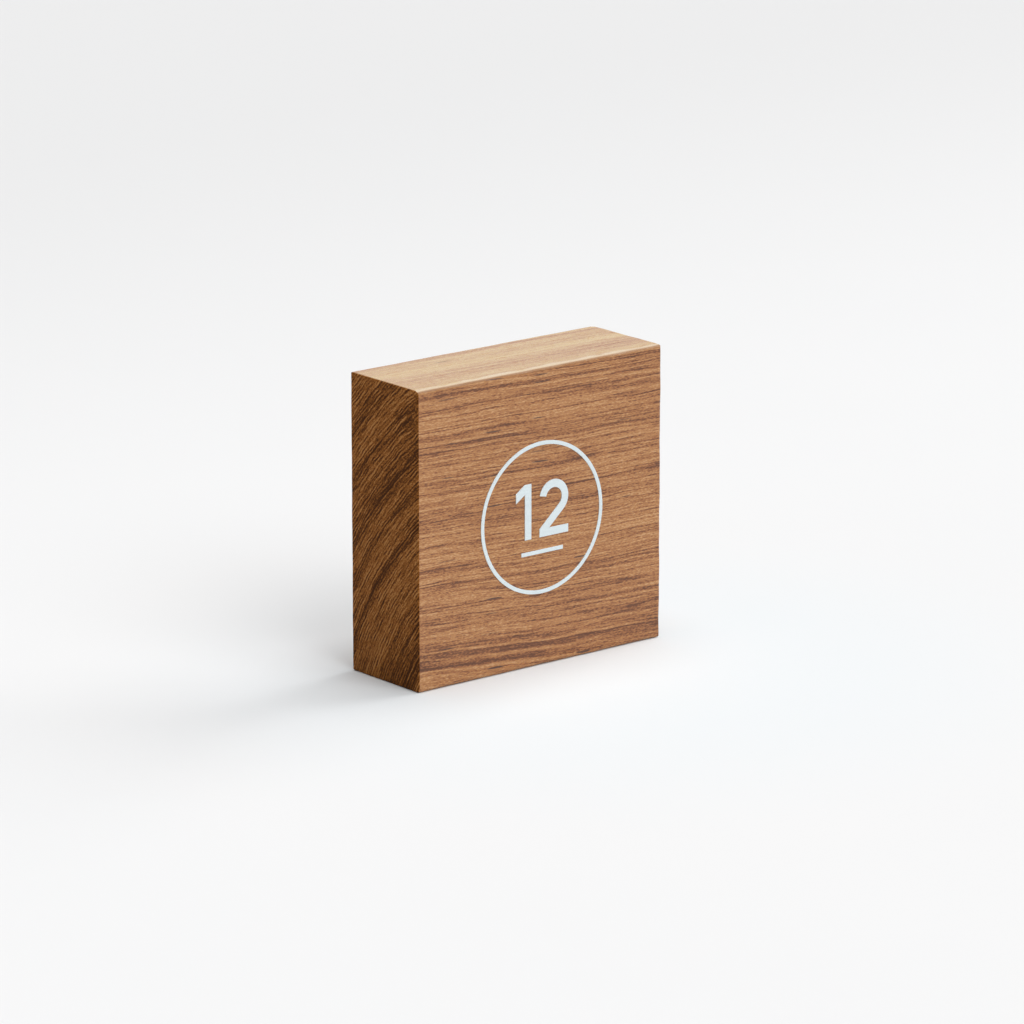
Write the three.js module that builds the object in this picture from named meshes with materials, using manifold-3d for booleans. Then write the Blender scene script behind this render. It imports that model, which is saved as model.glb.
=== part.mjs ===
// Tabletop sign: one eased block of oiled teak with a white film mark on its front face.
// Millimetres, +Z up. The grain runs along X and the front face looks along -Y.
// The origin is at the middle of the block's foot.

import * as THREE from "three";
import { mergeVertices } from "three/addons/utils/BufferGeometryUtils.js";
import Module from "manifold-3d";

// Block, cut from a planed board
const blockWidth = 88;
const blockHeight = 86;
const blockDepth = 30;

// Rounding of the four long edges, which run with the grain
const frontTopRound = 1.5;
const backTopRound = 0.7;
const frontBottomRound = 1.1;
const backBottomRound = 0.8;

// Rounding of the four upright edges, left and right as seen from the front
const frontLeftRound = 0.4;
const backLeftRound = 0.5;
const frontRightRound = 1.0;
const backRightRound = 1.3;

// Rounding of the short edges across the two end-grain faces
const leftTopRound = 0.5;
const leftBottomRound = 0.6;
const rightTopRound = 1.2;
const rightBottomRound = 1.2;

// Film that the mark is cut from
const filmThickness = 0.2;

// Ring round the number
const ringDiameter = 44;
const ringLine = 1.1;

// Number, two upright figures
const numeralHeight = 16;
const numeralStroke = 2.3;
const numeralGap = 3;
const oneFlagReach = 3.2;
const oneFlagDrop = 2.2;
const twoWidth = 10.4;
const twoHookAngle = THREE.MathUtils.degToRad(168);

// Rule under the number
const ruleLength = 15;
const ruleLine = 1.1;
const ruleClearance = 3.6;

// Steps along a quarter of a rounded edge, a figure's bowl and the whole ring
const edgeSteps = 6;
const bowlSteps = 40;
const ringSteps = 96;

// A three.js arc takes two steps for each curve segment
const STEPS_PER_SEGMENT = 2;

// Where the outlines' local x, y and depth point, for each way of standing a profile up
const sideStance = new THREE.Matrix4().makeBasis(
  new THREE.Vector3(0, 1, 0),
  new THREE.Vector3(0, 0, 1),
  new THREE.Vector3(1, 0, 0),
);
const planStance = new THREE.Matrix4();
const frontStance = new THREE.Matrix4().makeBasis(
  new THREE.Vector3(1, 0, 0),
  new THREE.Vector3(0, 0, 1),
  new THREE.Vector3(0, -1, 0),
);

const oiledTeak = new THREE.MeshStandardMaterial({
  name: "oiled_teak",
  color: new THREE.Color("rgb(175, 125, 88)"),
  roughness: 0.55,
  metalness: 0,
});
const whiteFilm = new THREE.MeshStandardMaterial({
  name: "white_film",
  color: new THREE.Color("rgb(225, 235, 235)"),
  roughness: 0.45,
  metalness: 0,
});

const wasm = await Module();
wasm.setup();

// Turns a closed mesh into a solid that can be joined and cut
function toSolid(geometry) {
  const bare = geometry.clone();
  bare.deleteAttribute("normal");
  bare.deleteAttribute("uv");
  const merged = mergeVertices(bare);
  const mesh = new wasm.Mesh({
    numProp: 3,
    vertProperties: merged.attributes.position.array,
    triVerts: new Uint32Array(merged.index.array),
  });
  return new wasm.Manifold(mesh);
}

// Turns a solid back into geometry
function toGeometry(solid) {
  const mesh = solid.getMesh();
  const geometry = new THREE.BufferGeometry();
  geometry.setAttribute("position", new THREE.BufferAttribute(mesh.vertProperties, 3));
  geometry.setIndex(new THREE.BufferAttribute(mesh.triVerts, 1));
  geometry.computeVertexNormals();
  return geometry;
}

// Rectangle round the middle of x, from bottom to top, with its own rounding at each corner
function easedOutline(width, bottom, top, round) {
  const left = -width / 2;
  const right = width / 2;
  const quarter = Math.PI / 2;
  const outline = new THREE.Shape();
  outline.absarc(left + round.leftBottom, bottom + round.leftBottom,
    round.leftBottom, -2 * quarter, -quarter);
  outline.absarc(right - round.rightBottom, bottom + round.rightBottom,
    round.rightBottom, -quarter, 0);
  outline.absarc(right - round.rightTop, top - round.rightTop, round.rightTop, 0, quarter);
  outline.absarc(left + round.leftTop, top - round.leftTop,
    round.leftTop, quarter, 2 * quarter);
  outline.closePath();
  return outline;
}

// Extrudes a profile evenly to both sides of the block's middle and stands it up
function profileSolid(outline, length, stance) {
  const geometry = new THREE.ExtrudeGeometry(outline, {
    depth: length,
    bevelEnabled: false,
    curveSegments: edgeSteps / STEPS_PER_SEGMENT,
  });
  geometry.translate(0, 0, -length / 2);
  geometry.applyMatrix4(stance);
  return toSolid(geometry);
}

// The block is what its three eased profiles have in common: the side's rounds the long
// edges, the plan's the upright edges, and the front's the short edges of the ends
function makeBlock() {
  const side = easedOutline(blockDepth, 0, blockHeight, {
    leftBottom: frontBottomRound,
    rightBottom: backBottomRound,
    rightTop: backTopRound,
    leftTop: frontTopRound,
  });
  const plan = easedOutline(blockWidth, -blockDepth / 2, blockDepth / 2, {
    leftBottom: frontLeftRound,
    rightBottom: frontRightRound,
    rightTop: backRightRound,
    leftTop: backLeftRound,
  });
  const front = easedOutline(blockWidth, 0, blockHeight, {
    leftBottom: leftBottomRound,
    rightBottom: rightBottomRound,
    rightTop: rightTopRound,
    leftTop: leftTopRound,
  });
  const solid = profileSolid(side, blockWidth, sideStance)
    .intersect(profileSolid(plan, 2 * blockHeight, planStance))
    .intersect(profileSolid(front, blockDepth, frontStance));
  return new THREE.Mesh(toGeometry(solid), oiledTeak);
}

// Cuts an outline from the film. Its place is measured from the middle of the front face.
function makeFilm(outline, x, rise, steps) {
  const geometry = new THREE.ExtrudeGeometry(outline, {
    depth: filmThickness,
    bevelEnabled: false,
    curveSegments: steps / STEPS_PER_SEGMENT,
  });
  geometry.translate(x, blockHeight / 2 + rise, blockDepth / 2);
  geometry.applyMatrix4(frontStance);
  return new THREE.Mesh(geometry, whiteFilm);
}

function ringOutline() {
  const outline = new THREE.Shape();
  outline.absarc(0, 0, ringDiameter / 2, 0, 2 * Math.PI);
  const opening = new THREE.Path();
  opening.absarc(0, 0, ringDiameter / 2 - ringLine, 0, 2 * Math.PI);
  outline.holes.push(opening);
  return outline;
}

// Figure one: a stem, with a flag whose stroke is as wide as the stem
function oneOutline() {
  const stemRight = oneFlagReach + numeralStroke;
  const flagLength = Math.hypot(oneFlagReach, oneFlagDrop);
  const flagDepth = numeralStroke * flagLength / oneFlagReach;
  return new THREE.Shape([
    new THREE.Vector2(oneFlagReach, 0),
    new THREE.Vector2(stemRight, 0),
    new THREE.Vector2(stemRight, numeralHeight),
    new THREE.Vector2(oneFlagReach, numeralHeight),
    new THREE.Vector2(0, numeralHeight - oneFlagDrop),
    new THREE.Vector2(0, numeralHeight - oneFlagDrop - flagDepth),
    new THREE.Vector2(oneFlagReach, numeralHeight - flagDepth),
  ]);
}

// Figure two: a round bowl that runs off at a tangent into the neck, and a flat foot.
// The neck's upper side is the line from the foot's corner that just touches the bowl's
// inner arc, and its lower side leaves the outer arc at the same angle.
function twoOutline() {
  const outerRadius = twoWidth / 2;
  const innerRadius = outerRadius - numeralStroke;
  const middle = new THREE.Vector2(outerRadius, numeralHeight - outerRadius);
  const heel = new THREE.Vector2(0, numeralStroke);
  const toHeel = heel.clone().sub(middle);
  const touchAngle = toHeel.angle() + Math.acos(innerRadius / toHeel.length()) - 2 * Math.PI;
  const outward = new THREE.Vector2(Math.cos(touchAngle), Math.sin(touchAngle));
  const down = new THREE.Vector2(outward.y, -outward.x);
  const outerTouch = middle.clone().addScaledVector(outward, outerRadius);
  const neckRun = (outerTouch.y - numeralStroke) / -down.y;
  const crotch = outerTouch.clone().addScaledVector(down, neckRun);
  const outline = new THREE.Shape();
  outline.moveTo(0, 0);
  outline.lineTo(twoWidth, 0);
  outline.lineTo(twoWidth, numeralStroke);
  outline.lineTo(crotch.x, crotch.y);
  outline.absarc(middle.x, middle.y, outerRadius, touchAngle, twoHookAngle, false);
  outline.absarc(middle.x, middle.y, innerRadius, twoHookAngle, touchAngle, true);
  outline.lineTo(heel.x, heel.y);
  outline.closePath();
  return outline;
}

function ruleOutline() {
  return new THREE.Shape([
    new THREE.Vector2(-ruleLength / 2, 0),
    new THREE.Vector2(ruleLength / 2, 0),
    new THREE.Vector2(ruleLength / 2, ruleLine),
    new THREE.Vector2(-ruleLength / 2, ruleLine),
  ]);
}

// The number and its rule are centred together in the ring
const oneWidth = oneFlagReach + numeralStroke;
const numberLeft = -(oneWidth + numeralGap + twoWidth) / 2;
const ruleRise = -(ruleLine + ruleClearance + numeralHeight) / 2;
const numberRise = ruleRise + ruleLine + ruleClearance;

const pieces = {
  wood_block: makeBlock(),
  mark_ring: makeFilm(ringOutline(), 0, 0, ringSteps),
  numeral_one: makeFilm(oneOutline(), numberLeft, numberRise, bowlSteps),
  numeral_two: makeFilm(twoOutline(), numberLeft + oneWidth + numeralGap, numberRise, bowlSteps),
  mark_rule: makeFilm(ruleOutline(), 0, ruleRise, bowlSteps),
};

const sign = new THREE.Group();
for (const [name, piece] of Object.entries(pieces)) {
  piece.name = name;
  sign.add(piece);
}

export default sign;
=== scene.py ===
"""Tabletop sign: an eased block of oiled teak with a white film mark on its front face.

The block stands on its lower long-grain face. The grain runs along X, the marked face looks
along -Y, and the end grain shows at both ends. Lengths are metres, and the sizes named in
millimetres say so.
"""

import logging
import math
from dataclasses import dataclass, field, replace
from enum import Enum

import bmesh
import bpy
import numpy as np
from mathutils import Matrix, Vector


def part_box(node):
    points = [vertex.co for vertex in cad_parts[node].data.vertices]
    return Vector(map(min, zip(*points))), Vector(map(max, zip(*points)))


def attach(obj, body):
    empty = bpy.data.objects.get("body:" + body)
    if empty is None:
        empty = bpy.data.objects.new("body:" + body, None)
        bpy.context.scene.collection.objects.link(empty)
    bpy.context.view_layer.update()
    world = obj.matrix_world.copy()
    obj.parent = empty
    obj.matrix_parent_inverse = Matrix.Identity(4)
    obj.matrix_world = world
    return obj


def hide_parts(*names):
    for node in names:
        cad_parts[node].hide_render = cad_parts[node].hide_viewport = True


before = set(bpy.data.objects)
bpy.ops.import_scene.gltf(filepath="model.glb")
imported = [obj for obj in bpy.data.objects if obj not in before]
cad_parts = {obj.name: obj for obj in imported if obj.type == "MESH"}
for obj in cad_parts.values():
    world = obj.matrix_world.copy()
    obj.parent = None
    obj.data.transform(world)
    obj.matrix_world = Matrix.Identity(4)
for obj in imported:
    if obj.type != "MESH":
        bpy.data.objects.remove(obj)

LOG = logging.getLogger("tabletop_sign")
MM = 0.001
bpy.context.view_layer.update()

# The value that noise is spread round
NOISE_MIDDLE = 0.5

# How far along X a surface has to face to belong to an end of the block
END_FACING = 0.5

Socket = bpy.types.NodeSocket
Triple = tuple[float, float, float]
Colour = tuple[float, float, float]

# What goes into a node: a plain value, or a link from another node
Number = Socket | float
Place = Socket | Triple
Paint = Socket | Colour


class Cut(Enum):
    """How a face of the block was cut from the tree."""

    LONG_GRAIN = "long_grain"
    END_GRAIN = "end_grain"


@dataclass(frozen=True)
class Sway:
    """One slow wave that bends the grain lines.

    Attributes:
        height: how far the wave pushes the lines, in mm.
        along: radians for each mm along the grain.
        round: radians for each mm round the rings.
        across: radians for each mm across the rings.
        phase: where the wave starts, in radians.
    """

    height: float
    along: float
    round: float
    across: float
    phase: float


@dataclass(frozen=True)
class DarkBand:
    """One dark growth band.

    Attributes:
        depth: its middle, in mm across the rings from the block's lower front edge.
        reach: half its width in mm.
        strength: how dark it is, from 0 to 1.
        core: half the width in mm that is as dark as its middle.
    """

    depth: float
    reach: float
    strength: float
    core: float = 0.0


@dataclass(frozen=True)
class GrowthRings:
    """Where the tree's rings lie in the block. All lengths are in mm.

    The rings are circles whose middle drifts away from the block as they grow, so that the
    inner ones bend more than the outer ones, as in a tree that stood on a slope.

    Attributes:
        heart_y: Y of the heart of the tree, in front of the block.
        heart_z: Z of the heart of the tree, below the block.
        drift_y: how far the middle moves in Y for each mm that a ring's radius grows.
        drift_z: how far the middle moves in Z for each mm that a ring's radius grows.
        near_radius: radius of the ring through the block's lower front edge.
        growth: how much the radius grows for each mm across the rings.
        climb: slope of the direction that runs up along the rings, in degrees.
        lean: how far the rings drift across for each mm along the grain.
        sways: the waves that bend the lines.
        bands: the dark growth bands, from the heart outwards.
        shades: the broad darker zones.
        span: how far across the rings the bands and zones reach in all.
    """

    heart_y: float = -40.0
    heart_z: float = -10.0
    drift_y: float = -0.49
    drift_z: float = -0.29
    near_radius: float = 62.1
    growth: float = 2.25
    climb: float = 52.0
    lean: float = 0.028
    sways: tuple[Sway, ...] = (
        Sway(0.40, 0.030, 0.020, 0.03, 0.4),
        Sway(0.14, 0.085, -0.060, 0.05, 2.1),
        Sway(0.07, 0.190, 0.230, -0.11, 4.0),
        Sway(0.05, 0.340, 0.730, 0.17, 1.2),
        Sway(0.05, -0.210, 1.330, 0.31, 5.3),
    )
    bands: tuple[DarkBand, ...] = (
        DarkBand(1.8, 0.6, 0.70),
        DarkBand(3.8, 0.7, 1.00),
        DarkBand(5.3, 0.7, 1.00),
        DarkBand(10.3, 0.6, 0.80),
        DarkBand(15.3, 0.6, 0.60),
        DarkBand(30.0, 1.5, 1.00),
        DarkBand(37.9, 1.2, 0.60),
        DarkBand(44.7, 1.8, 0.65),
        DarkBand(47.6, 0.6, 0.70),
        DarkBand(55.9, 0.8, 0.80),
    )
    shades: tuple[DarkBand, ...] = (
        DarkBand(5.4, 11.0, 0.80, 3.4),
        DarkBand(37.6, 2.6, 0.45),
        DarkBand(45.0, 4.0, 0.70),
        DarkBand(53.8, 2.4, 0.45),
        DarkBand(64.9, 3.9, 0.75),
        DarkBand(67.9, 0.5, 0.90),
        DarkBand(76.8, 2.8, 0.70),
    )
    span: float = 80.0

    def locate(self, points: np.ndarray) -> tuple[np.ndarray, np.ndarray, np.ndarray]:
        """Gives points their place in the tree, as the finish does in its nodes.

        Args:
            points: an array of X, Y and Z in mm, one row for each point.

        Returns:
            The distances along the grain, round the rings and across them, in mm.
        """
        along, y, z = points.T
        out_y = y - self.heart_y
        out_z = z - self.heart_z
        drifted = out_y * self.drift_y + out_z * self.drift_z
        rest = 1 - self.drift_y**2 - self.drift_z**2
        reach = np.sqrt(drifted**2 + rest * (out_y**2 + out_z**2))
        radius = (reach - drifted) / rest
        climb = math.radians(self.climb)
        round_rings = z * math.sin(climb) - y * math.cos(climb)
        across = (radius - self.near_radius) / self.growth + self.lean * along
        bend = np.zeros(len(points))
        for sway in self.sways:
            turn = sway.along * along + sway.round * round_rings + sway.across * across
            bend += sway.height * np.sin(turn + sway.phase)
        return along, round_rings, across + bend


@dataclass(frozen=True)
class Curl:
    """A patch of curly grain. Lengths are in mm.

    Attributes:
        middle: Y and Z of its middle.
        reach: how far it goes.
        height: how far it pushes the lines.
        pitch: noise units for each mm along the grain, round the rings and across them.
    """

    middle: tuple[float, float] = (-13.0, 76.0)
    reach: float = 17.0
    height: float = 2.1
    pitch: Triple = (0.01, 0.22, 0.14)


RINGS = GrowthRings()
CURL = Curl()


def add_object(name: str, data: bpy.types.ID) -> bpy.types.Object:
    """Adds an object to the scene.

    Args:
        name: the object's name.
        data: its mesh, lamp or camera.

    Returns:
        The object.
    """
    made = bpy.data.objects.new(name, data)
    bpy.context.scene.collection.objects.link(made)
    return made


class Sketch:
    """A material's node tree, with one short call for each kind of node."""

    def __init__(self, name: str) -> None:
        """Starts an empty material.

        Args:
            name: the material's name.
        """
        self.material = bpy.data.materials.new(name)
        self.material.use_nodes = True
        self.tree = self.material.node_tree
        self.tree.nodes.clear()
        self.output = self.tree.nodes.new("ShaderNodeOutputMaterial")

    def node(self, kind: str, inputs: dict[str | int, Number | Place] | None = None,
             **settings: str | bool) -> bpy.types.Node:
        """Adds one node.

        Args:
            kind: the node's type name.
            inputs: values or sockets by input name or number.
            settings: the node's own properties.

        Returns:
            The new node.
        """
        made = self.tree.nodes.new(kind)
        for key, value in settings.items():
            setattr(made, key, value)
        for key, value in (inputs or {}).items():
            if isinstance(value, Socket):
                self.tree.links.new(value, made.inputs[key])
            else:
                made.inputs[key].default_value = value
        return made

    def math(self, operation: str, first: Number, second: Number = 0.0,
             third: Number = 0.0, clamp: bool = False) -> Socket:
        """Adds one sum on numbers and returns its result."""
        made = self.node("ShaderNodeMath", {0: first, 1: second, 2: third},
                         operation=operation, use_clamp=clamp)
        return made.outputs[0]

    def dot(self, first: Place, second: Place) -> Socket:
        """Adds the dot product of two vectors."""
        made = self.node("ShaderNodeVectorMath", {0: first, 1: second}, operation="DOT_PRODUCT")
        return made.outputs["Value"]

    def apart(self, first: Place, second: Place) -> Socket:
        """Adds the distance between two places."""
        made = self.node("ShaderNodeVectorMath", {0: first, 1: second}, operation="DISTANCE")
        return made.outputs["Value"]

    def join(self, x: Number, y: Number, z: Number) -> Socket:
        """Joins three numbers to a vector."""
        return self.node("ShaderNodeCombineXYZ", {0: x, 1: y, 2: z}).outputs[0]

    def part(self, vector: Socket, axis: int) -> Socket:
        """Takes the number along one axis out of a vector."""
        return self.node("ShaderNodeSeparateXYZ", {0: vector}).outputs[axis]

    def place(self) -> Socket:
        """Gives the place on the object, in metres."""
        return self.node("ShaderNodeTexCoord").outputs["Object"]

    def place_in_mm(self) -> Socket:
        """Gives the place on the object, in mm."""
        return self.stretch(self.place(), (1 / MM, 1 / MM, 1 / MM))

    def facing(self, axis: int) -> Socket:
        """Gives how far the surface faces along one axis, from -1 to 1."""
        return self.part(self.node("ShaderNodeTexCoord").outputs["Normal"], axis)

    def stretch(self, vector: Socket, scale: Triple, shift: float = 0.0) -> Socket:
        """Scales a vector by each axis and moves it by one number."""
        made = self.node("ShaderNodeVectorMath", {0: vector, 1: scale, 2: (shift, shift, shift)},
                         operation="MULTIPLY_ADD")
        return made.outputs[0]

    def noise(self, vector: Socket, detail: float) -> Socket:
        """Adds noise of one unit's size and returns it as a number from 0 to 1."""
        made = self.node("ShaderNodeTexNoise", {"Vector": vector, "Scale": 1.0, "Detail": detail})
        return made.outputs["Fac"]

    def waver(self, value: Number, vector: Socket, pitch: Triple, weight: Number,
              shift: float = 0.0, detail: float = 0.5) -> Socket:
        """Adds noise to a number, as much below it as above.

        Args:
            value: the number.
            vector: where the noise is taken.
            pitch: noise units for each unit of the place along each axis.
            weight: how strongly the noise shows.
            shift: moves the noise away from other noise.
            detail: how much fine detail the noise has.

        Returns:
            The number with the noise added.
        """
        noise = self.noise(self.stretch(vector, pitch, shift), detail)
        centred = self.math("SUBTRACT", noise, NOISE_MIDDLE)
        return self.math("MULTIPLY_ADD", centred, weight, value)

    def spread(self, value: Socket, low: float, high: float,
               bottom: float = 0.0, top: float = 1.0, smooth: bool = False) -> Socket:
        """Maps low..high to bottom..top and holds what lies outside."""
        made = self.node("ShaderNodeMapRange",
                         {"Value": value, "From Min": low, "From Max": high,
                          "To Min": bottom, "To Max": top},
                         interpolation_type="SMOOTHSTEP" if smooth else "LINEAR")
        return made.outputs["Result"]

    def ramp(self, value: Socket, stops: list[tuple[float, Colour]]) -> Socket:
        """Colours a number.

        Args:
            value: the number, from 0 to 1.
            stops: places from 0 to 1, each with its linear colour.

        Returns:
            The colour.
        """
        made = self.node("ShaderNodeValToRGB", {0: value})
        elements = made.color_ramp.elements
        while len(elements) < len(stops):
            elements.new(0.5)
        for element, (place, _) in zip(elements, stops):
            element.position = place
        for element, (_, colour) in zip(elements, stops):
            element.color = (*colour, 1.0)
        return made.outputs["Color"]

    def mix(self, amount: Number, first: Paint, second: Paint) -> Socket:
        """Mixes two colours.

        Args:
            amount: how much of the second colour there is, from 0 to 1.
            first: the first colour.
            second: the second colour.

        Returns:
            The mixed colour.
        """
        made = self.node("ShaderNodeMix", data_type="RGBA")
        for name, value in (("Factor_Float", amount), ("A_Color", first), ("B_Color", second)):
            socket = next(s for s in made.inputs if s.identifier == name)
            if isinstance(value, Socket):
                self.tree.links.new(value, socket)
            elif name == "Factor_Float":
                socket.default_value = value
            else:
                socket.default_value = (*value, 1.0)
        return next(s for s in made.outputs if s.identifier == "Result_Color")

    def finish(self, shader: bpy.types.Node) -> bpy.types.Material:
        """Sends the shader to the surface and returns the material."""
        self.tree.links.new(shader.outputs[0], self.output.inputs["Surface"])
        return self.material


@dataclass(frozen=True)
class GrainLayer:
    """One layer of streaks, all of about one size.

    Attributes:
        pitch: noise units for each mm along the grain, round the rings and across them.
        weight: how strongly the layer shows.
        shift: moves the layer away from the others.
        detail: how much fine detail the streaks have.
    """

    pitch: Triple
    weight: float
    shift: float = 0.0
    detail: float = 0.5

    def add(self, sketch: Sketch, place: Socket, tone: Number) -> Socket:
        """Adds the layer to a tone."""
        return sketch.waver(tone, place, self.pitch, self.weight, self.shift, self.detail)


@dataclass(frozen=True)
class Patches:
    """Slow noise by which lines come and go.

    Attributes:
        pitch: noise units for each mm along the grain, round the rings and across them.
        noise: the noise at which least of the lines is left, and at which most is.
        share: the least and the most that is left.
        shift: moves the patches away from the others.
        detail: how much fine detail the noise has.
    """

    pitch: Triple
    noise: tuple[float, float]
    share: tuple[float, float] = (0.0, 1.0)
    shift: float = 0.0
    detail: float = 1.0

    def left(self, sketch: Sketch, place: Socket, shift: float = 0.0) -> Socket:
        """Gives the share that is left at each place, with the patches moved by a shift."""
        noise = sketch.noise(sketch.stretch(place, self.pitch, self.shift + shift), self.detail)
        return sketch.spread(noise, *self.noise, *self.share)


@dataclass(frozen=True)
class Veins:
    """Thin dark lines that run far along the grain and fade in and out.

    Attributes:
        pitch: noise units for each mm along the grain, round the rings and across them.
        width: how far the noise may be from its middle value inside a line.
        weight: how dark the lines are.
        shift: moves the lines away from the others.
    """

    pitch: Triple
    width: float
    weight: float
    shift: float = 0.0


@dataclass(frozen=True)
class Ripples:
    """Even growth lines, one after the other across the rings.

    Attributes:
        spacing: from one line to the next, in mm.
        wander: how far the lines stray, as a share of their spacing.
        weight: how much lighter and darker than the ground the lines are.
        shift: moves the lines away from the others.
        stray: noise units of the straying for each mm along the grain and round the rings,
            and for each spacing across them.
    """

    spacing: float
    wander: float
    weight: float
    shift: float = 0.0
    stray: Triple = (0.012, 0.11, 0.40)


@dataclass(frozen=True)
class Cells:
    """Long thin cells that show as dashes on long grain and as dots on end grain.

    Attributes:
        room: the room each cell has along the grain, round the rings and across them, in mm.
        width: half the cell's size as a share of its room.
        empty: share of the rooms with no cell in them.
        weight: how strongly the cells show.
        shift: moves this set of cells away from the others.
        core: share of the cell's width that shows in full.
        faint: share of the cells that show less than the others.
    """

    room: Triple
    width: float
    empty: float
    weight: float
    shift: float = 0.0
    core: float = 0.6
    faint: float = 0.5


@dataclass(frozen=True)
class Tones:
    """The wood's linear colours from its darkest lines to its palest flecks.

    Attributes:
        dark: the dark lines.
        brown: the brown beside them.
        tan: the darker ground.
        gold: the ground.
        cream: the palest flecks.
        places: the tones of the colours, after that of a deeper one below the dark lines.
        deepening: the deeper colour as a share of that of the dark lines.
    """

    dark: Colour
    brown: Colour
    tan: Colour
    gold: Colour
    cream: Colour
    places: tuple[float, ...] = (-0.4, 0.04, 0.35, 0.66, 1.00, 1.3)
    deepening: float = 0.72

    def paint(self, sketch: Sketch, tone: Socket) -> Socket:
        """Colours a tone.

        Args:
            sketch: the material's node tree.
            tone: the tone, where 0 is a dark line and 1 the ground.

        Returns:
            The colour.
        """
        lowest, highest = self.places[0], self.places[-1]
        reach = highest - lowest
        deepest = tuple(part * self.deepening for part in self.dark)
        colours = (deepest, self.dark, self.brown, self.tan, self.gold, self.cream)
        share = sketch.spread(tone, lowest, highest)
        return sketch.ramp(share, [((place - lowest) / reach, colour)
                                   for place, colour in zip(self.places, colours)])


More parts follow.
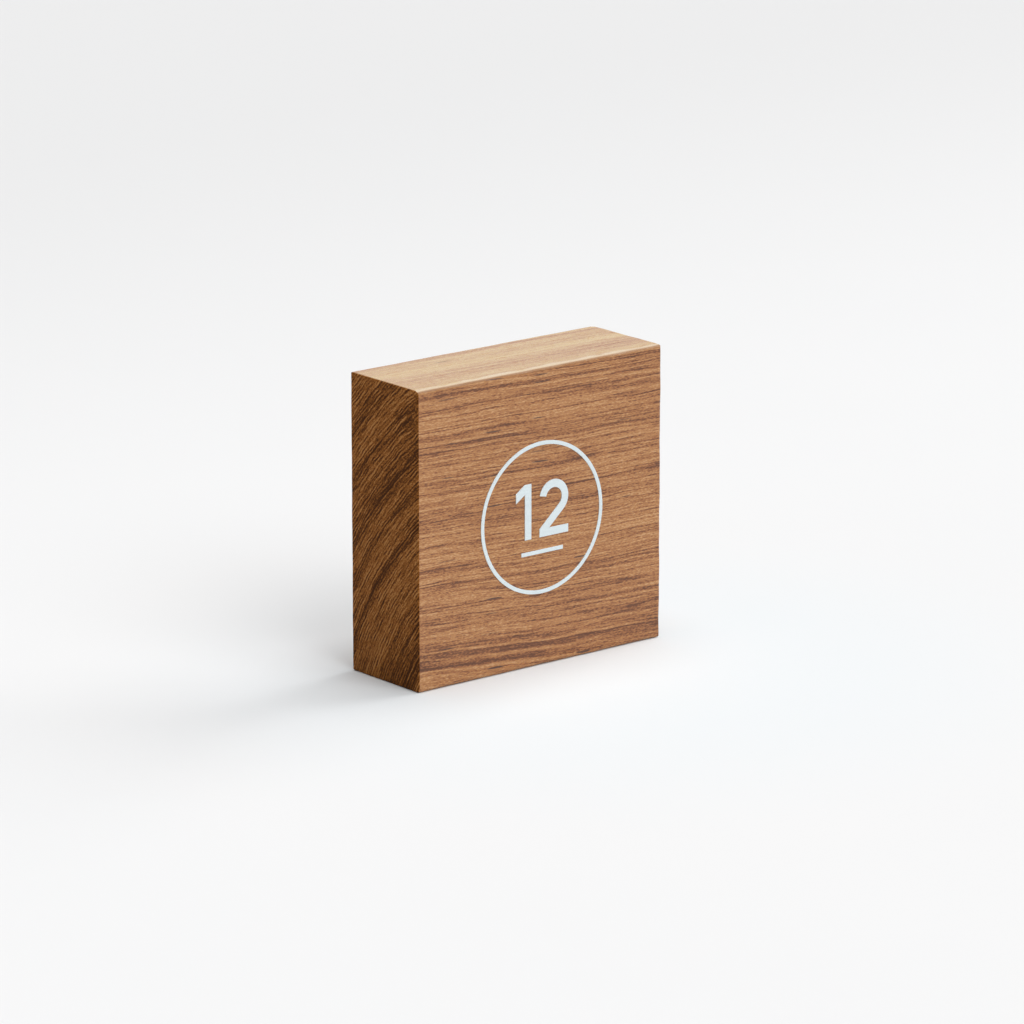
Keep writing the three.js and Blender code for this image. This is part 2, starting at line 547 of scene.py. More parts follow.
@dataclass(frozen=True)
class OiledTeak:
    """Teak, sanded and oiled, with its rings, streaks, pores and flecks running through it.

    Attributes:
        cut: which way the face was cut.
        pore: linear colour inside the open vessels.
        tones: the wood's colours.
        painted_light_tones: paler colours painted where light falls strongest: painted light and
            sheen on the upper face, painted light on the right end.
        edge_highlight: linear colour of the painted highlight along the front edge of the upper
            face.
        handled: linear colour of the painted shade on the rounds below the upper face.
        ground: mean tone of the wood, where 0 is a dark line and 1.3 the palest fleck.
        layers: the streaks.
        veins: the thin dark lines.
        ripples: the even growth lines.
        upper_stripes: broad stripes that show within the upper face's painted light.
        band_weight: how dark the growth bands are.
        shade_weight: how dark the broad zones are.
        rays: pale flecks.
        vessels: fine open tubes.
        tubes: wide open tubes, few and long.
        specular: strength of the oil's reflection.
        roughness: mean roughness of the oiled surface.
        relief: strength of the grain's relief.
        band_wobble: how the dark bands stray.
        band_patches: how they come and go.
        vein_fade: how the veins fade in and out, with its pitch as a share of theirs.
        vein_breaks: how pores break them up.
        ripple_patches: how the even growth lines come and go.
        highlight_line: how the border of the painted highlight strip strays.
        highlight_reach: Y in mm where that strip starts, and where it is at its palest.
        highlight_weight: how strongly the painted highlight shows.
        shaded_round_facing: how far up a round faces where its painted shade starts, and where it
            is darkest.
        shaded_round_weight: how much of the painted shade's colour shows there.
        painted_light_facing: how far up the wood faces where the painted light starts, and where
            it is palest.
        calm_tone: how much of all the lines shows on the upper face under its painted light.
        calm_streaks: how much more of the streaks shows there.
        calm_shade: how dark the broad zones are there.
        calm_lift: tone that is added there.
        smoother: how much smoother the pale wood is than the dark.
        rougher: how much rougher the open tubes are.
        tone_height: height of the pale wood above the dark, as a share of the tubes' depth.
        relief_depth: depth of the tubes in mm.
    """

    cut: Cut = Cut.LONG_GRAIN
    pore: Colour = (0.085, 0.040, 0.028)
    tones: Tones = Tones((0.170, 0.058, 0.021), (0.308, 0.113, 0.036), (0.426, 0.179, 0.060),
                         (0.530, 0.252, 0.095), (0.620, 0.335, 0.150))
    # Painted light: paler colours for the upper face, with painted sheen, and for the right end
    painted_light_tones: Tones = Tones((0.300, 0.105, 0.038), (0.385, 0.178, 0.066), (0.463, 0.249, 0.097),
                         (0.522, 0.322, 0.129), (0.575, 0.393, 0.168))
    # Painted highlight along the front edge of the upper face
    edge_highlight: Colour = (0.690, 0.555, 0.395)
    # Painted shade on the rounds below the upper face
    handled: Colour = (0.260, 0.116, 0.030)
    ground: float = 0.885
    layers: tuple[GrainLayer, ...] = (
        GrainLayer((0.004, 0.020, 0.10), 0.16),
        GrainLayer((0.004, 0.020, 0.36), 0.16, 3.0),
        GrainLayer((0.006, 0.030, 0.95), 0.12, 7.0),
        GrainLayer((0.008, 0.060, 2.00), 0.75, 17.0),
        GrainLayer((0.020, 0.200, 3.20), 1.05, 37.0),
        GrainLayer((0.150, 1.400, 3.60), 0.90, 13.0),
        GrainLayer((0.600, 1.600, 2.40), 0.35, 29.0),
        GrainLayer((1.100, 4.000, 4.80), 1.75, 23.0),
    )
    veins: tuple[Veins, ...] = (
        Veins((0.005, 0.012, 0.32), 0.030, 0.36, 46.3),
        Veins((0.008, 0.020, 0.62), 0.055, 0.45, 49.1),
        Veins((0.010, 0.040, 1.15), 0.085, 0.46, 53.0),
    )
    ripples: tuple[Ripples, ...] = (
        Ripples(1.50, 0.90, 0.11, 71.0),
        Ripples(0.62, 0.80, 0.08, 79.0),
    )
    upper_stripes: GrainLayer = GrainLayer((0.003, 0.010, 1.80), 1.35, 67.0)
    band_weight: float = 0.32
    shade_weight: float = 0.24
    rays: Cells = Cells((2.6, 0.9, 0.62), 0.36, 0.30, 0.16, 21.0)
    vessels: Cells = Cells((9.0, 0.80, 0.80), 0.32, 0.40, 0.36, 3.0)
    tubes: Cells = Cells((16.0, 1.60, 0.90), 0.25, 0.84, 0.95, 11.0)
    specular: float = 0.5
    roughness: float = 0.30
    relief: float = 0.35
    band_wobble: GrainLayer = GrainLayer((0.02, 0.10, 0.25), 0.7, detail=1.0)
    band_patches: Patches = Patches((0.01, 0.03, 0.9), (0.35, 0.65), (0.75, 1.15), 31.0)
    vein_fade: Patches = Patches((3.0, 2.0, 0.7), (0.32, 0.58), shift=5.0)
    vein_breaks: Patches = Patches((0.35, 0.8, 0.8), (0.35, 0.60), (0.75, 1.10), 9.0, 2.0)
    ripple_patches: Patches = Patches((0.03, 0.25, 0.80), (0.35, 0.62), (0.1, 1.0), 4.0)
    # Where the painted highlight along the front edge lies
    highlight_line: GrainLayer = GrainLayer((0.15, 0.3, 0.3), 3.0 * MM, 61.0, 2.0)
    highlight_reach: tuple[float, float] = (-12.4, -13.6)
    highlight_weight: float = 0.85
    shaded_round_facing: tuple[float, float] = (0.12, 0.60)
    shaded_round_weight: float = 0.75
    painted_light_facing: tuple[float, float] = (0.88, 0.985)
    calm_tone: float = 0.25
    calm_streaks: float = 0.80
    calm_shade: float = 0.44
    calm_lift: float = 0.08375
    smoother: float = 0.10
    rougher: float = 0.25
    tone_height: float = 0.4
    relief_depth: float = 0.12

    def grain_place(self, sketch: Sketch) -> Socket:
        """Finds a point's place in the tree, as GrowthRings.locate does.

        Args:
            sketch: the material's node tree.

        Returns:
            The vector along the grain, round the rings and across them, in mm.
        """
        in_mm = sketch.place_in_mm()
        along, y, z = sketch.node("ShaderNodeSeparateXYZ", {0: in_mm}).outputs
        out_y = sketch.math("SUBTRACT", y, RINGS.heart_y)
        out_z = sketch.math("SUBTRACT", z, RINGS.heart_z)
        out = sketch.join(out_y, out_z, 0.0)
        drifted = sketch.dot(out, (RINGS.drift_y, RINGS.drift_z, 0.0))
        rest = 1 - RINGS.drift_y**2 - RINGS.drift_z**2
        squared = sketch.math("MULTIPLY_ADD", sketch.dot(out, out), rest,
                              sketch.math("MULTIPLY", drifted, drifted))
        reach = sketch.math("SQRT", squared)
        radius = sketch.math("DIVIDE", sketch.math("SUBTRACT", reach, drifted), rest)
        grown = sketch.math("SUBTRACT", radius, RINGS.near_radius)
        across = sketch.math("DIVIDE", grown, RINGS.growth)
        across = sketch.math("MULTIPLY_ADD", along, RINGS.lean, across)
        climb = math.radians(RINGS.climb)
        round_rings = sketch.dot(in_mm, (0.0, -math.cos(climb), math.sin(climb)))
        plain = sketch.join(along, round_rings, across)
        for sway in RINGS.sways:
            turn = sketch.dot(plain, (sway.along, sway.round, sway.across))
            wave = sketch.math("SINE", sketch.math("ADD", turn, sway.phase))
            across = sketch.math("MULTIPLY_ADD", wave, sway.height, across)
        away = sketch.apart(sketch.join(y, z, 0.0), (*CURL.middle, 0.0))
        inside = sketch.spread(away, CURL.reach, 0.0, 0.0, CURL.height, smooth=True)
        across = sketch.waver(across, plain, CURL.pitch, inside)
        return sketch.join(along, round_rings, across)

    def band_tone(self, sketch: Sketch, place: Socket,
                  bands: tuple[DarkBand, ...]) -> Socket:
        """Draws dark bands.

        Args:
            sketch: the material's node tree.
            place: the place in the tree.
            bands: the bands, from the heart outwards.

        Returns:
            How far the place is inside one of them, from 0 to 1.
        """
        moved = self.band_wobble.add(sketch, place, sketch.part(place, 2))
        share = sketch.math("DIVIDE", moved, RINGS.span, clamp=True)
        clear = (0.0, 0.0, 0.0)
        stops = [(0.0, clear)]
        for band in bands:
            stops.append((max(0.0, band.depth - band.reach) / RINGS.span, clear))
            # A band with no core has a single darkest stop
            for side in sorted({-band.core, band.core}):
                stops.append(((band.depth + side) / RINGS.span, (band.strength,) * 3))
            stops.append(((band.depth + band.reach) / RINGS.span, clear))
        return sketch.ramp(share, stops)

    def vein_tone(self, sketch: Sketch, place: Socket, veins: Veins) -> Socket:
        """Draws one set of veins where noise crosses its middle value.

        Args:
            sketch: the material's node tree.
            place: the place in the tree.
            veins: the set of veins.

        Returns:
            Their weight inside a vein and 0 outside it.
        """
        noise = sketch.noise(sketch.stretch(place, veins.pitch, veins.shift), detail=0.0)
        away = sketch.math("ABSOLUTE", sketch.math("SUBTRACT", noise, NOISE_MIDDLE))
        inside = sketch.spread(away, veins.width, 0.0, 0.0, veins.weight, smooth=True)
        slow = tuple(pitch * share for pitch, share in zip(veins.pitch, self.vein_fade.pitch))
        fade = replace(self.vein_fade, pitch=slow).left(sketch, place, veins.shift)
        breaks = self.vein_breaks.left(sketch, place, veins.shift)
        return sketch.math("MULTIPLY", sketch.math("MULTIPLY", inside, fade), breaks)

    def ripple_tone(self, sketch: Sketch, place: Socket, ripples: Ripples) -> Socket:
        """Draws one set of even growth lines.

        Args:
            sketch: the material's node tree.
            place: the place in the tree.
            ripples: the set of lines.

        Returns:
            Their tone, above and below 0 by no more than their weight.
        """
        slow = (*ripples.stray[:2], ripples.stray[2] / ripples.spacing)
        stray = sketch.noise(sketch.stretch(place, slow, ripples.shift), detail=1.0)
        turn = sketch.math("MULTIPLY", sketch.part(place, 2), math.tau / ripples.spacing)
        turn = sketch.math("MULTIPLY_ADD", stray, 2 * math.tau * ripples.wander, turn)
        line = sketch.math("MULTIPLY", sketch.math("SINE", turn), ripples.weight)
        return sketch.math("MULTIPLY", line,
                           self.ripple_patches.left(sketch, place, ripples.shift))

    def cells(self, sketch: Sketch, place: Socket, kind: Cells) -> Socket:
        """Draws one kind of cells.

        Args:
            sketch: the material's node tree.
            place: the place in the tree.
            kind: the kind of cells.

        Returns:
            Their weight inside a cell and 0 outside it.
        """
        room = sketch.stretch(place, tuple(1 / room for room in kind.room), kind.shift)
        found = sketch.node("ShaderNodeTexVoronoi",
                            {"Vector": room, "Scale": 1.0, "Randomness": 1.0},
                            voronoi_dimensions="3D", feature="F1")
        inside = sketch.spread(found.outputs["Distance"], kind.width, kind.width * kind.core,
                               smooth=True)
        lot = sketch.part(found.outputs["Color"], 0)
        kept = sketch.spread(lot, kind.empty, kind.empty + kind.faint * (1 - kind.empty),
                             0.0, kind.weight)
        return sketch.math("MULTIPLY", inside, kept)

    def paint_light_and_shade(self, sketch: Sketch, place: Socket, colour: Socket, calm: Socket) -> Socket:
        """Paints shade on the rounds below the upper face, light and sheen on the upper face, and
        a highlight along its front edge.

        Args:
            sketch: the material's node tree.
            place: the place in the tree.
            colour: the wood's colour.
            calm: the tone of the upper face under its painted light.

        Returns:
            The colour of the long grain on every side.
        """
        upward = sketch.facing(2)
        # Painted shade on the rounds below the upper face
        darker = sketch.spread(upward, *self.shaded_round_facing, 0.0, self.shaded_round_weight,
                               smooth=True)
        colour = sketch.mix(darker, colour, self.handled)
        # Painted light and sheen: the upper face turns paler
        painted_light = sketch.spread(upward, *self.painted_light_facing, smooth=True)
        pale = self.painted_light_tones.paint(sketch, calm)
        # Painted highlight along the front edge of the upper face
        border = self.highlight_line.add(sketch, place, sketch.part(sketch.place(), 1))
        start, full = self.highlight_reach
        highlight = sketch.spread(border, start * MM, full * MM, 0.0, self.highlight_weight, smooth=True)
        return sketch.mix(painted_light, colour, sketch.mix(highlight, pale, self.edge_highlight))

    def build(self) -> bpy.types.Material:
        """Builds the material.

        Returns:
            The material.
        """
        sketch = Sketch(f"oiled_teak_{self.cut.value}")
        place = self.grain_place(sketch)
        band = self.band_tone(sketch, place, RINGS.bands)
        shade = self.band_tone(sketch, place, RINGS.shades)
        streaks = self.ground
        for layer in self.layers:
            streaks = layer.add(sketch, place, streaks)
        tone = streaks
        for veins in self.veins:
            tone = sketch.math("SUBTRACT", tone, self.vein_tone(sketch, place, veins))
        for ripples in self.ripples:
            tone = sketch.math("SUBTRACT", tone, self.ripple_tone(sketch, place, ripples))
        darker = sketch.math("MULTIPLY", band, self.band_patches.left(sketch, place))
        tone = sketch.math("MULTIPLY_ADD", darker, -self.band_weight, tone)
        tone = sketch.math("MULTIPLY_ADD", shade, -self.shade_weight, tone)
        tone = sketch.math("ADD", tone, self.cells(sketch, place, self.rays))
        vessels = self.cells(sketch, place, self.vessels)
        tone = sketch.math("SUBTRACT", tone, vessels)
        colour = self.tones.paint(sketch, tone)
        if self.cut is Cut.LONG_GRAIN:
            # The upper face's tone under its painted light and sheen
            calm = sketch.math("MULTIPLY_ADD", tone, self.calm_tone, self.calm_lift)
            calm = sketch.math("MULTIPLY_ADD", streaks, self.calm_streaks, calm)
            calm = self.upper_stripes.add(sketch, place, calm)
            calm = sketch.math("MULTIPLY_ADD", shade, -self.calm_shade, calm)
            colour = self.paint_light_and_shade(sketch, place, colour, calm)
        else:
            # Painted light: the right end, which faces the window light, takes the paler colours
            right_end = sketch.spread(sketch.facing(0), -END_FACING, END_FACING)
            colour = sketch.mix(right_end, colour, self.painted_light_tones.paint(sketch, tone))
        tubes = self.cells(sketch, place, self.tubes)
        colour = sketch.mix(tubes, colour, self.pore)
        opened = sketch.math("MAXIMUM", tubes, vessels)
        rough = sketch.math("MULTIPLY_ADD", tone, -self.smoother,
                            self.roughness + self.smoother / 2)
        rough = sketch.math("MULTIPLY_ADD", opened, self.rougher, rough, clamp=True)
        height = sketch.math("MULTIPLY_ADD", opened, -1.0,
                             sketch.math("MULTIPLY", tone, self.tone_height))
        bump = sketch.node("ShaderNodeBump", {
            "Strength": self.relief, "Distance": self.relief_depth * MM, "Height": height})
        shader = sketch.node("ShaderNodeBsdfPrincipled", {
            "Base Color": colour, "Roughness": rough, "Normal": bump.outputs[0],
            "Specular IOR Level": self.specular})
        return sketch.finish(shader)


END_GRAIN_TEAK = OiledTeak(
    cut=Cut.END_GRAIN,
    pore=(0.085, 0.030, 0.010),
    tones=Tones((0.085, 0.025, 0.003), (0.195, 0.064, 0.008), (0.290, 0.100, 0.016),
                (0.400, 0.154, 0.034), (0.500, 0.218, 0.062)),
    # Paler colours of the painted light on the right end
    painted_light_tones=Tones((0.110, 0.042, 0.014), (0.225, 0.088, 0.028), (0.315, 0.132, 0.046),
                (0.410, 0.194, 0.078), (0.490, 0.260, 0.115)),
    ground=0.70,
    layers=(
        GrainLayer((0.004, 0.006, 0.10), 0.15),
        GrainLayer((0.004, 0.008, 0.36), 0.25, 3.0),
        GrainLayer((0.006, 0.010, 0.80), 0.55, 7.0),
        GrainLayer((0.018, 0.100, 1.90), 0.80, 17.0),
        GrainLayer((0.100, 0.300, 2.60), 1.25, 13.0),
        GrainLayer((0.300, 1.500, 3.20), 1.75, 23.0),
    ),
    veins=(
        Veins((0.005, 0.012, 0.40), 0.040, 0.35, 41.0),
        Veins((0.012, 0.020, 0.90), 0.060, 0.35, 47.0),
    ),
    ripples=(
        Ripples(1.42, 0.80, 0.18, 71.0),
        Ripples(1.10, 0.90, 0.34, 83.0),
        Ripples(0.88, 0.90, 0.46, 89.0),
    ),
    band_weight=0.74,
    shade_weight=0.45,
    rays=Cells((2.6, 1.6, 0.50), 0.36, 0.40, 0.14, 21.0),
    vessels=Cells((8.0, 1.60, 0.60), 0.34, 0.35, 0.16, 3.0),
    tubes=Cells((22.0, 2.0, 1.40), 0.18, 0.85, 0.35, 11.0),
    specular=0.08,
    roughness=0.62,
    relief=0.5,
)


@dataclass(frozen=True)
class WhiteFilm:
    """Matte white film with a faint unevenness where it has sunk into the grain.

    Attributes:
        white: linear colour of the film.
        shade: linear colour of its thinnest places.
        roughness: mean roughness.
        grain: noise units of the unevenness for each mm along X, Y and Z.
        grain_detail: how much fine detail it has.
        thin: the noise at which the film starts to thin, and at which it is thinnest.
        thin_weight: how much of the thinnest places' colour shows.
        smoother: how much smoother the thick places are than the thin ones.
        relief: strength of the relief.
        relief_depth: depth of the relief in mm.
    """

    white: Colour = (0.785, 0.875, 0.905)
    shade: Colour = (0.735, 0.820, 0.850)
    roughness: float = 0.42
    grain: Triple = (0.25, 0.25, 2.6)
    grain_detail: float = 3.0
    thin: tuple[float, float] = (0.42, 0.75)
    thin_weight: float = 0.8
    smoother: float = 0.16
    relief: float = 0.2
    relief_depth: float = 0.03

    def build(self) -> bpy.types.Material:
        """Builds the material.

        Returns:
            The material.
        """
        sketch = Sketch("white_film")
        grain = sketch.noise(sketch.stretch(sketch.place_in_mm(), self.grain), self.grain_detail)
        thin = sketch.spread(grain, *self.thin, 0.0, self.thin_weight)
        colour = sketch.mix(thin, self.white, self.shade)
        rough = sketch.math("MULTIPLY_ADD", grain, self.smoother,
                            self.roughness - self.smoother / 2)
        bump = sketch.node("ShaderNodeBump", {
            "Strength": self.relief, "Distance": self.relief_depth * MM, "Height": grain})
        shader = sketch.node("ShaderNodeBsdfPrincipled", {
            "Base Color": colour, "Roughness": rough, "Normal": bump.outputs[0]})
        return sketch.finish(shader)


@dataclass(frozen=True)
class PaleFloor:
    """Plain white floor with barely visible mottling, a little greyer far behind the sign, and a
    painted cool tint just in front of it.

    Attributes:
        white: linear colour of the floor.
        shade: linear colour of its darker patches.
        far: linear colour far behind the sign.
        near: linear colour of a painted cool tint close in front of the sign, which offsets the
            warm light that the wood throws onto the floor.
        mottling: noise units of the patches for each metre along X, Y and Z.
        mottling_detail: how much fine detail they have.
        far_reach: how far behind the sign the floor starts to turn grey and stops, in metres.
        near_middle: middle of the painted tint, in metres.
        near_reach: how far from there it ends, and is at its full, in metres.
        roughness: roughness of the floor.
        specular: strength of its reflection.
    """

    white: Colour = (0.815, 0.815, 0.817)
    shade: Colour = (0.800, 0.802, 0.806)
    far: Colour = (0.725, 0.725, 0.727)
    # Painted cool tint that offsets the wood's warm light on the floor
    near: Colour = (0.770, 0.805, 0.825)
    mottling: Triple = (9.0, 9.0, 9.0)
    mottling_detail: float = 3.0
    far_reach: tuple[float, float] = (0.10, 0.70)
    near_middle: Triple = (0.01, -0.03, 0.0)
    near_reach: tuple[float, float] = (0.16, 0.03)
    roughness: float = 0.85
    specular: float = 0.2

    def build(self) -> bpy.types.Material:
        """Builds the material.

        Returns:
            The material.
        """
        sketch = Sketch("pale_floor")
        place = sketch.place()
        patches = sketch.noise(sketch.stretch(place, self.mottling), self.mottling_detail)
        colour = sketch.mix(patches, self.white, self.shade)
        far = sketch.spread(sketch.part(place, 1), *self.far_reach, smooth=True)
        colour = sketch.mix(far, colour, self.far)
        # Painted cool tint in front of the sign, offsetting the warm light the wood throws onto
        # the floor
        near = sketch.spread(sketch.apart(place, self.near_middle), *self.near_reach,
                             smooth=True)
        colour = sketch.mix(near, colour, self.near)
        shader = sketch.node("ShaderNodeBsdfPrincipled", {
            "Base Color": colour, "Roughness": self.roughness,
            "Specular IOR Level": self.specular})
        return sketch.finish(shader)


@dataclass(frozen=True)
class ReliefLine:
    """One set of growth lines that stand proud of the planed wood.

    Attributes:
        pitch: radians for each mm across the rings.
        stray: how far the lines stray, in radians.
        start: where the wave starts, in radians.
        height: height as a share of the tallest lines'.
    """

    pitch: float
    stray: float
    start: float
    height: float


@dataclass(frozen=True)
class Relief:
    """The soft wood's depth between the hard growth lines.

    Attributes:
        depth: the greatest depth in mm.
        mean: the mean depth as a share of the greatest.
        swing: how far the lines swing about the mean, as a share of the greatest depth.
        lines: the sets of lines.
        stray_pitch: the straying's radians for each mm along, round and across the rings.
        stray_bend: how far the straying bends across the rings, in radians.
        fade_pitch: the fading's radians for each mm across the rings and along the grain.
    """

    depth: float = 0.012
    mean: float = 0.5
    swing: float = 0.3
    lines: tuple[ReliefLine, ...] = (
        ReliefLine(4.7, 0.8, 0.0, 1.0),
        ReliefLine(7.9, 1.7, 2.0, 0.6),
    )
    stray_pitch: Triple = (0.11, 0.13, 0.9)
    stray_bend: float = 0.6
    fade_pitch: tuple[float, float] = (0.83, 0.05)

    def depth_at(self, points: np.ndarray) -> np.ndarray:
        """Works out the relief.

        Args:
            points: an array of X, Y and Z in mm, one row for each point.

        Returns:
            The depth below the surface at each point, in mm.
        """
        along, round_rings, across = RINGS.locate(points)
        pitch_along, pitch_round, pitch_across = self.stray_pitch
        bend = self.stray_bend * np.sin(pitch_across * across)
        stray = np.sin(pitch_along * along + bend + pitch_round * round_rings)
        wave = sum(line.height * np.sin(line.pitch * across + line.stray * stray + line.start)
                   for line in self.lines)
        fade = 0.5 + 0.5 * np.sin(self.fade_pitch[0] * across + self.fade_pitch[1] * along)
        return self.depth * (self.mean + self.swing * wave * fade).clip(0, 1)


@dataclass(frozen=True)
class Wear:
    """How unevenly the edges that run one way are rounded, by a long and a short wave.

    Attributes:
        pitch: radians of the long wave for each mm along the edge.
        start: where the long wave starts, in radians.
        short_pitch: radians of the short wave for each mm along the edge.
        short_start: where the short wave starts, in radians.
        depth: how much the long wave changes the rounding, as a share of it.
        short_height: height of the short wave as a share of the long one's.
    """

    pitch: float
    start: float
    short_pitch: float
    short_start: float
    depth: float = 0.12
    short_height: float = 0.6

    def factor(self, along: np.ndarray, lag: np.ndarray | float = 0.0,
               short_lag: np.ndarray | float = 0.0) -> np.ndarray:
        """Works out the wear.

        Args:
            along: places along the edges in mm.
            lag: moves the long wave, so that each edge has its own, in radians.
            short_lag: moves the short wave likewise.

        Returns:
            The factor on the rounding at each place.
        """
        long_wave = np.sin(self.pitch * along + lag + self.start)
        short_wave = np.sin(self.short_pitch * along + short_lag + self.short_start)
        return 1 + self.depth * (long_wave + self.short_height * short_wave)


@dataclass
class WoodBlock:
    """The block: a board offcut with eased edges and the grain's own fine relief.

    Attributes:
        long_rounds: rounding in mm of the edges along the grain, by front or back and by
            bottom or top.
        upright_rounds: rounding in mm of the upright edges, by left or right and by front
            or back.
        short_rounds: rounding in mm of the edges across the ends, by left or right and by
            bottom or top.
        along_step: lattice step along the grain in mm.
        across_step: lattice step across the grain in mm.
        edge_step: lattice step at the edges in mm.
        edge_reach: how far in from each edge the fine lattice goes, in mm.
        handled: how far the upper front edge is rubbed away, back and down, in mm.
        wear: how the rounding changes along the edges that run along X, Y and Z.
        corner_wear: how much rounder the right back edge gets at its top, as a share.
        corner_reach: how far down from the top that goes, in mm.
        halvings: how often the search for the eased surface halves its step.
        relief: the grain's relief.
        flat_foot: how near its foot the block stays flat, in mm.
    """

    long_rounds: dict[tuple[int, int], float] = field(default_factory=lambda: {
        (0, 0): 1.1, (1, 0): 0.8, (0, 1): 0.3, (1, 1): 0.7})
    upright_rounds: dict[tuple[int, int], float] = field(default_factory=lambda: {
        (0, 0): 0.4, (1, 0): 1.0, (0, 1): 0.5, (1, 1): 1.3})
    short_rounds: dict[tuple[int, int], float] = field(default_factory=lambda: {
        (0, 0): 0.6, (1, 0): 1.2, (0, 1): 0.5, (1, 1): 0.8})
    along_step: float = 2.0
    across_step: float = 0.38
    edge_step: float = 0.16
    edge_reach: float = 1.9
    handled: tuple[float, float] = (2.4, 0.9)
    wear: tuple[Wear, Wear, Wear] = (
        Wear(0.19, 1.3, 0.53, 0.4), Wear(0.37, 2.1, 0.91, 3.0), Wear(0.23, 0.7, 0.61, 0.0))
    corner_wear: float = 1.8
    corner_reach: float = 9.0
    halvings: int = 30
    relief: Relief = Relief()
    flat_foot: float = 0.01

    def lattice(self, low: float, high: float, step: float) -> np.ndarray:
        """Spaces points from low to high, close together near both ends.

        Args:
            low: the first point in mm.
            high: the last point in mm.
            step: the step in the middle in mm.

        Returns:
            The points in mm.
        """
        fine = max(2, round(self.edge_reach / self.edge_step))
        coarse = max(2, round((high - low - 2 * self.edge_reach) / step))
        parts = [np.linspace(low, low + self.edge_reach, fine, endpoint=False),
                 np.linspace(low + self.edge_reach, high - self.edge_reach, coarse,
                             endpoint=False),
                 np.linspace(high - self.edge_reach, high, fine + 1)]
        return np.concatenate(parts)

    def shell(self, axes: list[np.ndarray]) -> tuple[np.ndarray, np.ndarray]:
        """Makes the outer points of a box lattice and the faces between them.

        Args:
            axes: the lattice's steps in X, Y and Z.

        Returns:
            The points, and the faces as four point numbers each, facing out.
        """
        counts = [len(a) for a in axes]
        number = np.full(counts, -1)
        at = np.indices(counts)
        outer = np.zeros(counts, bool)
        for axis, count in enumerate(counts):
            outer |= (at[axis] == 0) | (at[axis] == count - 1)
        number[outer] = np.arange(outer.sum())
        points = np.stack([axes[k][at[k][outer]] for k in range(3)], 1)
        faces = []
        for axis in range(3):
            for end in (0, counts[axis] - 1):
                sheet = np.take(number, end, axis=axis)
                quads = np.stack([sheet[:-1, :-1], sheet[1:, :-1], sheet[1:, 1:],
                                  sheet[:-1, 1:]], -1).reshape(-1, 4)
                turned = (end == 0) != (axis == 1)
                faces.append(quads[:, ::-1] if turned else quads)
        return points, np.concatenate(faces)

    def corner_distance(self, a: np.ndarray, b: np.ndarray, low: tuple[float, float],
                        high: tuple[float, float], rounds: dict[tuple[int, int], float],
                        wear: np.ndarray) -> np.ndarray:
        """Signed distance from points to a rounded rectangle, in mm.

        Args:
            a: the points' first coordinate.
            b: the points' second coordinate.
            low: the rectangle's lowest corner.
            high: the rectangle's highest corner.
            rounds: the rounding at each corner, by side in each coordinate.
            wear: a factor on the rounding at each point.

        Returns:
            The distances, below 0 inside.
        """
        middle_a = (low[0] + high[0]) / 2
        middle_b = (low[1] + high[1]) / 2
        side_a = (a > middle_a).astype(int)
        side_b = (b > middle_b).astype(int)
        table = np.array([[rounds[0, 0], rounds[0, 1]], [rounds[1, 0], rounds[1, 1]]])
        radius = table[side_a, side_b] * wear
        over_a = np.abs(a - middle_a) - (high[0] - low[0]) / 2 + radius
        over_b = np.abs(b - middle_b) - (high[1] - low[1]) / 2 + radius
        outside = np.hypot(np.maximum(over_a, 0), np.maximum(over_b, 0))
        return outside + np.minimum(np.maximum(over_a, over_b), 0) - radius

    def outside(self, points: np.ndarray, low: np.ndarray, high: np.ndarray) -> np.ndarray:
        """Measures how far points stick out of the eased block.

        Args:
            points: an array of X, Y and Z in mm, one row for each point.
            low: the block's lowest corner in mm.
            high: the block's highest corner in mm.

        Returns:
            The distances in mm, below 0 inside.
        """
        x, y, z = points.T
        along_x = self.wear[0].factor(x, short_lag=z)
        along_y = self.wear[1].factor(y, lag=x)
        along_z = self.wear[2].factor(z, lag=x, short_lag=y)
        rise = np.clip((z - high[2]) / self.corner_reach + 1, 0, 1)
        along_z += self.corner_wear * rise**2 * ((x > 0) & (y > 0))
        side = self.corner_distance(y, z, (low[1], low[2]), (high[1], high[2]),
                                    self.long_rounds, along_x)
        plan = self.corner_distance(x, y, (low[0], low[1]), (high[0], high[1]),
                                    self.upright_rounds, along_z)
        front = self.corner_distance(x, z, (low[0], low[2]), (high[0], high[2]),
                                     self.short_rounds, along_y)
        back, down = self.handled
        over_y = np.maximum(1 - (y - low[1]) / (back * along_x), 0)
        over_z = np.maximum(1 - (high[2] - z) / (down * along_x), 0)
        handled = (np.hypot(over_y, over_z) - 1) * down
        return np.maximum.reduce([side, plan, front, handled])

    def ease(self, points: np.ndarray, low: np.ndarray, high: np.ndarray) -> np.ndarray:
        """Draws the sharp box's points in to the eased surface.

        Args:
            points: points on the sharp box in mm.
            low: the box's lowest corner in mm.
            high: the box's highest corner in mm.

        Returns:
            The points on the eased surface.
        """
        core = np.clip(points, low + self.edge_reach, high - self.edge_reach)
        near = np.zeros(len(points))
        far = np.where(self.outside(points, low, high) > 0, 1.0, 0.0)
        for _ in range(self.halvings):
            middle = (near + far) / 2
            out = self.outside(points + (core - points) * middle[:, None], low, high) > 0
            near = np.where(out, middle, near)
            far = np.where(out, far, middle)
        return points + (core - points) * far[:, None]

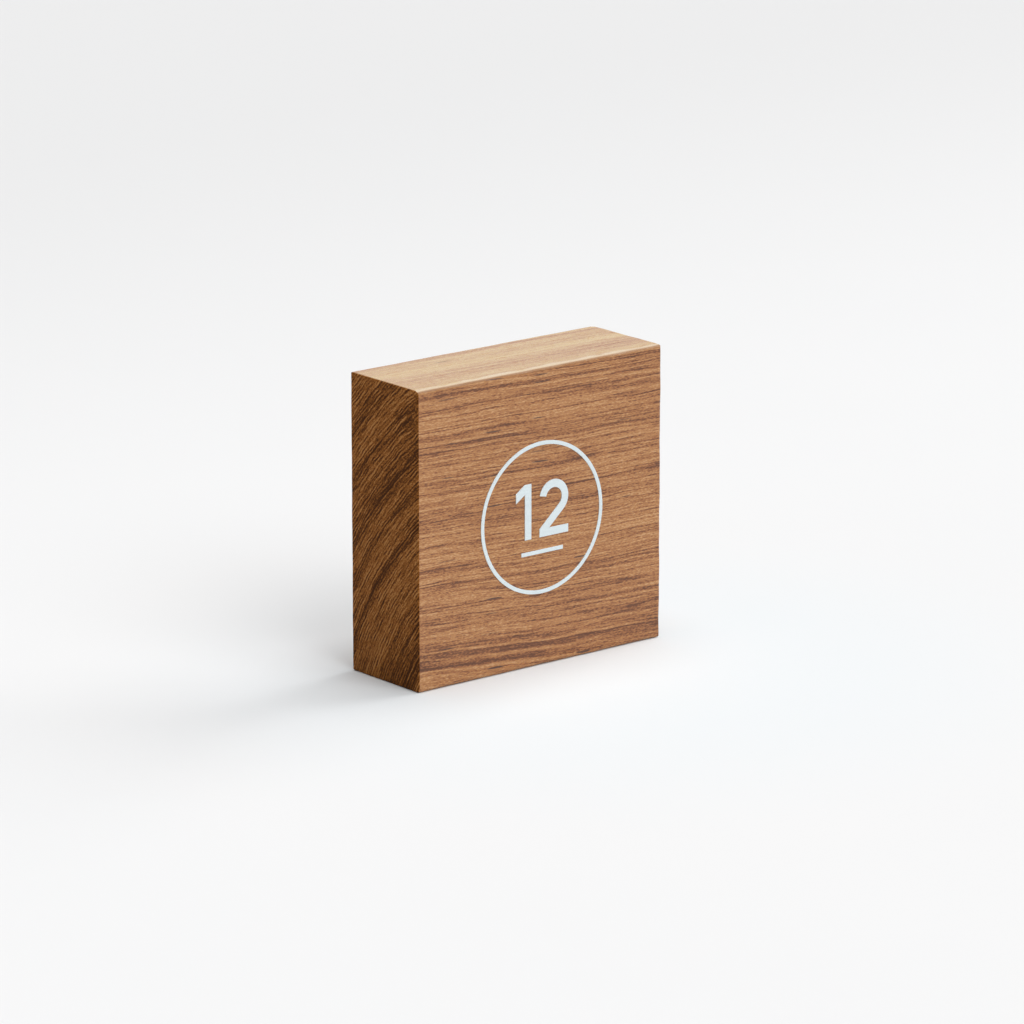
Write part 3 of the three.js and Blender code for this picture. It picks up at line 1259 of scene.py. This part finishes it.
    def build(self) -> bpy.types.Object:
        """Builds the block in the place of its node.

        Returns:
            The block.
        """
        low, high = (np.array(corner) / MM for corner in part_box("wood_block"))
        axes = [self.lattice(low[0], high[0], self.along_step),
                self.lattice(low[1], high[1], self.across_step),
                self.lattice(low[2], high[2], self.across_step)]
        points, faces = self.shell(axes)
        points = self.ease(points, low, high)
        mesh = bpy.data.meshes.new("teak_block")
        mesh.from_pydata((points * MM).tolist(), [], faces.tolist())
        mesh.update()
        normals = np.zeros(len(points) * 3)
        mesh.vertices.foreach_get("normal", normals)
        depth = self.relief.depth_at(points)
        resting = points[:, 2] < low[2] + self.flat_foot
        depth[resting] = 0.0
        points = points - normals.reshape(-1, 3) * depth[:, None]
        mesh.vertices.foreach_set("co", (points * MM).ravel())
        mesh.polygons.foreach_set("use_smooth", np.ones(len(mesh.polygons), bool))
        mesh.update()
        block = add_object("teak_block", mesh)
        self.dress(block)
        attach(block, "root")
        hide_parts("wood_block")
        return block

    def dress(self, block: bpy.types.Object) -> None:
        """Gives the ends the end-grain finish and all other faces the long-grain one.

        Args:
            block: the block.
        """
        mesh = block.data
        mesh.materials.append(OiledTeak().build())
        mesh.materials.append(END_GRAIN_TEAK.build())
        normals = np.zeros(len(mesh.polygons) * 3)
        mesh.polygons.foreach_get("normal", normals)
        is_end = np.abs(normals.reshape(-1, 3)[:, 0]) > END_FACING
        mesh.polygons.foreach_set("material_index", is_end.astype(np.int32))


@dataclass
class FilmMark:
    """The mark: a ring, two figures and a rule, cut from thin film.

    Attributes:
        nodes: the mark's CAD nodes.
    """

    nodes: tuple[str, ...] = ("mark_ring", "numeral_one", "numeral_two", "mark_rule")

    def dress(self) -> None:
        """Gives each piece of the mark the film's finish."""
        finish = WhiteFilm().build()
        for name in self.nodes:
            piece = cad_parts[name]
            piece.data.materials.clear()
            piece.data.materials.append(finish)


@dataclass(frozen=True)
class SoftLight:
    """One broad soft light far away.

    Attributes:
        name: what the light is called.
        bearing: its angle from +X round towards the front, in degrees.
        height: its angle above the floor, in degrees.
        spread: how wide it looks from the sign, in degrees.
        strength: its light on a surface that faces it, in watts for each square metre.
    """

    name: str
    bearing: float
    height: float
    spread: float
    strength: float


@dataclass
class Studio:
    """Pale floor, even light from all round, three broad lights, and the camera.

    Attributes:
        floor_size: width of the floor in metres.
        azimuth: the camera's angle round the sign, in degrees.
        elevation: the camera's angle above the floor, in degrees.
        distance: from the camera to its target, in metres.
        target: what the camera looks at.
        picture_width: width of the photograph in pixels.
        focal_pixels: the camera's focal length in those pixels.
        sensor_width: width of the camera's sensor in mm.
        clip: nearest and farthest distance that the camera sees, in metres.
        floor_steps: number of faces along each side of the floor.
        glow: strength of the even light from all round.
        lights: the broad lights.
    """

    floor_size: float = 8.0
    azimuth: float = -39.47
    elevation: float = 15.07
    distance: float = 1.6625
    target: Triple = (0.00156, 0.0, 0.04112)
    picture_width: float = 1024.0
    focal_pixels: float = 5908.0
    sensor_width: float = 36.0
    clip: tuple[float, float] = (0.05, 50.0)
    floor_steps: int = 16
    glow: float = 0.03
    lights: tuple[SoftLight, ...] = (
        SoftLight("overhead_light", 0.0, 85.0, 40.0, 1.78),
        SoftLight("front_light", 90.0, 45.0, 44.0, 1.53),
        SoftLight("window_light", 2.0, 30.0, 40.0, 1.32),
    )

    def floor(self) -> None:
        """Lays the floor."""
        shape = bmesh.new()
        bmesh.ops.create_grid(shape, x_segments=self.floor_steps, y_segments=self.floor_steps,
                              size=self.floor_size / 2)
        mesh = bpy.data.meshes.new("floor")
        shape.to_mesh(mesh)
        shape.free()
        mesh.materials.append(PaleFloor().build())
        add_object("floor", mesh)

    def sky(self) -> None:
        """Lights the scene evenly, and shows white to the camera and in reflections."""
        world = bpy.data.worlds.new("studio")
        bpy.context.scene.world = world
        world.use_nodes = True
        tree = world.node_tree
        tree.nodes.clear()
        rays = tree.nodes.new("ShaderNodeLightPath")
        seen = tree.nodes.new("ShaderNodeMath")
        seen.operation = "MAXIMUM"
        tree.links.new(rays.outputs["Is Camera Ray"], seen.inputs[0])
        tree.links.new(rays.outputs["Is Glossy Ray"], seen.inputs[1])
        mix = tree.nodes.new("ShaderNodeMixShader")
        tree.links.new(seen.outputs[0], mix.inputs[0])
        for slot, strength in ((1, self.glow), (2, 1.0)):
            light = tree.nodes.new("ShaderNodeBackground")
            light.inputs["Color"].default_value = (1.0, 1.0, 1.0, 1.0)
            light.inputs["Strength"].default_value = strength
            tree.links.new(light.outputs[0], mix.inputs[slot])
        out = tree.nodes.new("ShaderNodeOutputWorld")
        tree.links.new(mix.outputs[0], out.inputs["Surface"])

    def aim(self, made: bpy.types.Object, towards: Vector, distance: float) -> None:
        """Puts a light or the camera in its place and turns it to the sign.

        Args:
            made: the light or the camera.
            towards: the direction from the target to it.
            distance: how far from the target it is, in metres.
        """
        made.location = Vector(self.target) + towards * distance
        made.rotation_mode = "QUATERNION"
        made.rotation_quaternion = towards.to_track_quat("Z", "Y")

    def hang(self, light: SoftLight) -> None:
        """Hangs one soft light.

        Args:
            light: the light.
        """
        lamp = bpy.data.lights.new(light.name, "SUN")
        lamp.angle = math.radians(light.spread)
        lamp.energy = light.strength
        bearing = math.radians(light.bearing)
        height = math.radians(light.height)
        towards = Vector((math.cos(bearing) * math.cos(height),
                          -math.sin(bearing) * math.cos(height), math.sin(height)))
        self.aim(add_object(light.name, lamp), towards, 1.0)

    def camera(self) -> None:
        """Sets up the camera at the photograph's viewing angle."""
        lens = bpy.data.cameras.new("camera")
        lens.sensor_width = self.sensor_width
        lens.lens = self.focal_pixels / self.picture_width * lens.sensor_width
        lens.clip_start, lens.clip_end = self.clip
        azimuth = math.radians(self.azimuth)
        elevation = math.radians(self.elevation)
        towards = Vector((math.sin(azimuth) * math.cos(elevation),
                          -math.cos(azimuth) * math.cos(elevation), math.sin(elevation)))
        made = add_object("camera", lens)
        self.aim(made, towards, self.distance)
        bpy.context.scene.camera = made

    def build(self) -> None:
        """Builds the floor, the light and the camera."""
        self.floor()
        self.sky()
        for light in self.lights:
            self.hang(light)
        self.camera()
        view = bpy.context.scene.view_settings
        view.view_transform = "Standard"


def main() -> None:
    """Builds the sign's pieces in order, then the studio round it."""
    logging.basicConfig(level=logging.INFO, format="%(name)s: %(message)s")
    block = WoodBlock().build()
    LOG.info("%s: %d faces", block.name, len(block.data.polygons))
    mark = FilmMark()
    mark.dress()
    for name in mark.nodes:
        LOG.info("%s: dressed in white film", name)
    Studio().build()
    LOG.info("studio ready")


if __name__ == "__main__":
    main()
